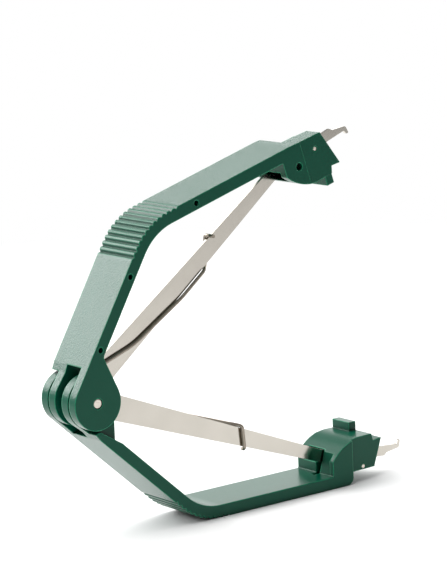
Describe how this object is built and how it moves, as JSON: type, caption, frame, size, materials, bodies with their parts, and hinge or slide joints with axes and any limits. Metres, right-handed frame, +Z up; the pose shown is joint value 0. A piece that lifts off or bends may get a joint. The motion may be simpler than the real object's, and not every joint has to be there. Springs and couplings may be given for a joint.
{
  "type": "ic extractor tool",
  "caption": "Self-opening green plastic chip puller with ribbed bent arms and hooked steel blades, for square chips in sockets.",
  "frame": {"origin": "middle of the flat outer face of the lower forearm, which the tool stands on", "axes": "+X along the lower forearm towards the hooks, +Y along the hinge pin, +Z up"},
  "size_m": [0.1164, 0.016, 0.1017],
  "materials": {
    "green_plastic": "fine grain",
    "blade_steel": "satin",
    "pin_steel": "ground",
    "spring_wire": "drawn"
  },
  "bodies": {
    "lower_arm": {"lower_arm": "green_plastic", "lower_blade": "blade_steel", "hinge_pin": "pin_steel", "lower_guide_pin": "pin_steel", "hairpin_spring": "spring_wire"},
    "upper_arm": {"upper_arm": "green_plastic", "upper_blade": "blade_steel", "upper_guide_pin": "pin_steel"}
  },
  "joints": [
    {"name": "arm_hinge", "type": "hinge", "parent": "lower_arm", "child": "upper_arm", "pos_m": [-0.05847, 0, 0.03859], "axis": [0, 1, 0], "range_deg": [0, 43], "stiffness_Nm_per_rad": 0.02, "springref_deg": -57.3, "deforming": ["hairpin_spring"]}
  ]
}
